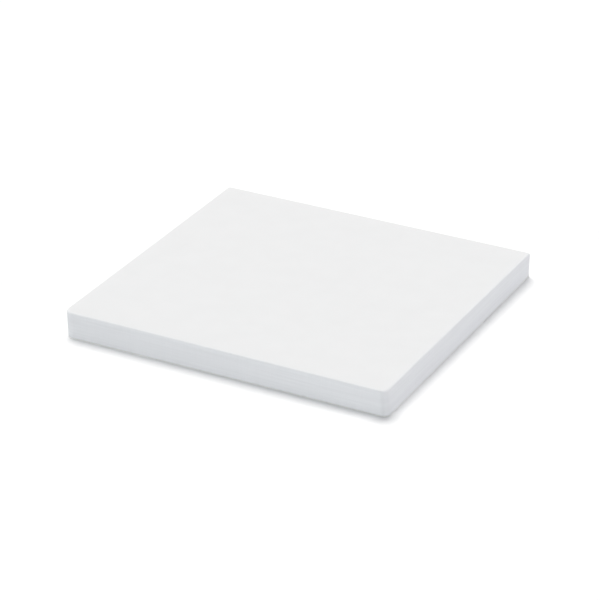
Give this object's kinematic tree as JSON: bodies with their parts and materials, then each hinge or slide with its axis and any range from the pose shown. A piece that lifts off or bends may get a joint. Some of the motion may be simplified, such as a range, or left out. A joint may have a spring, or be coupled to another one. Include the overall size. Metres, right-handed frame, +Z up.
{
  "type": "sticky note pad",
  "caption": "Flat blank pad of white sticky notes held together by a band of low-tack glue along one edge, on a backing sheet, for writing and peeling off notes.",
  "frame": {"origin": "centre of the underside of the backing sheet, on the surface that the pad lies on", "axes": "+Z up through the stack of notes; +X along the glued edge; +Y from the free edge of the notes towards the glued edge"},
  "size_m": [0.0762, 0.0698, 0.0058],
  "materials": {
    "note_paper": "uncoated white paper, matt, with fine layers showing on the cut edges",
    "low_tack_glue": "clear to milky acrylic glue, satin",
    "backing_paper": "thin release-coated white paper, satin"
  },
  "bodies": {
    "root": {"note_sheets": "note_paper", "adhesive_strip": "low_tack_glue", "backing_sheet": "backing_paper"}
  },
  "joints": []
}
